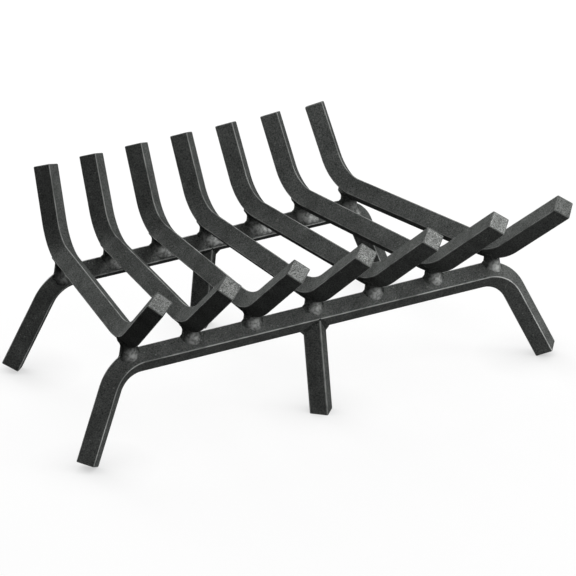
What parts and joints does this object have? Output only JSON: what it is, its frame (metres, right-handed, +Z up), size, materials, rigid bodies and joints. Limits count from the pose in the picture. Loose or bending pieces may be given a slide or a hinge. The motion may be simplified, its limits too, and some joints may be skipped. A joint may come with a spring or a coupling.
{
  "type": "log grate",
  "caption": "Fireplace log grate of square bars set on edge: cross bars bent up at front and back, fanned towards the front, welded over two rails with splayed legs.",
  "frame": {"origin": "on the floor, at the middle of the grate's bounding box", "axes": "+X runs along the rails to the right as seen from the front, +Y runs along the middle cross bar from the front to the back, +Z is up"},
  "size_m": [0.5622, 0.3869, 0.2139],
  "materials": {
    "painted_bar": "black heat-resistant paint with a low satin sheen over hot-rolled square steel bar",
    "painted_weld": "the same black paint over rounded weld metal, a little smoother and brighter on its bulges"
  },
  "bodies": {
    "root": {"front_rail": "painted_bar", "back_rail": "painted_bar", "cross_bar_1": "painted_bar", "cross_bar_2": "painted_bar", "cross_bar_3": "painted_bar", "cross_bar_4": "painted_bar", "cross_bar_5": "painted_bar", "cross_bar_6": "painted_bar", "cross_bar_7": "painted_bar", "front_centre_leg": "painted_bar", "back_centre_leg": "painted_bar", "weld_front_1": "painted_weld", "weld_front_2": "painted_weld", "weld_front_3": "painted_weld", "weld_front_4": "painted_weld", "weld_front_5": "painted_weld", "weld_front_6": "painted_weld", "weld_front_7": "painted_weld", "weld_back_1": "painted_weld", "weld_back_2": "painted_weld", "weld_back_3": "painted_weld", "weld_back_4": "painted_weld", "weld_back_5": "painted_weld", "weld_back_6": "painted_weld", "weld_back_7": "painted_weld", "weld_front_leg": "painted_weld", "weld_back_leg": "painted_weld"}
  },
  "joints": []
}
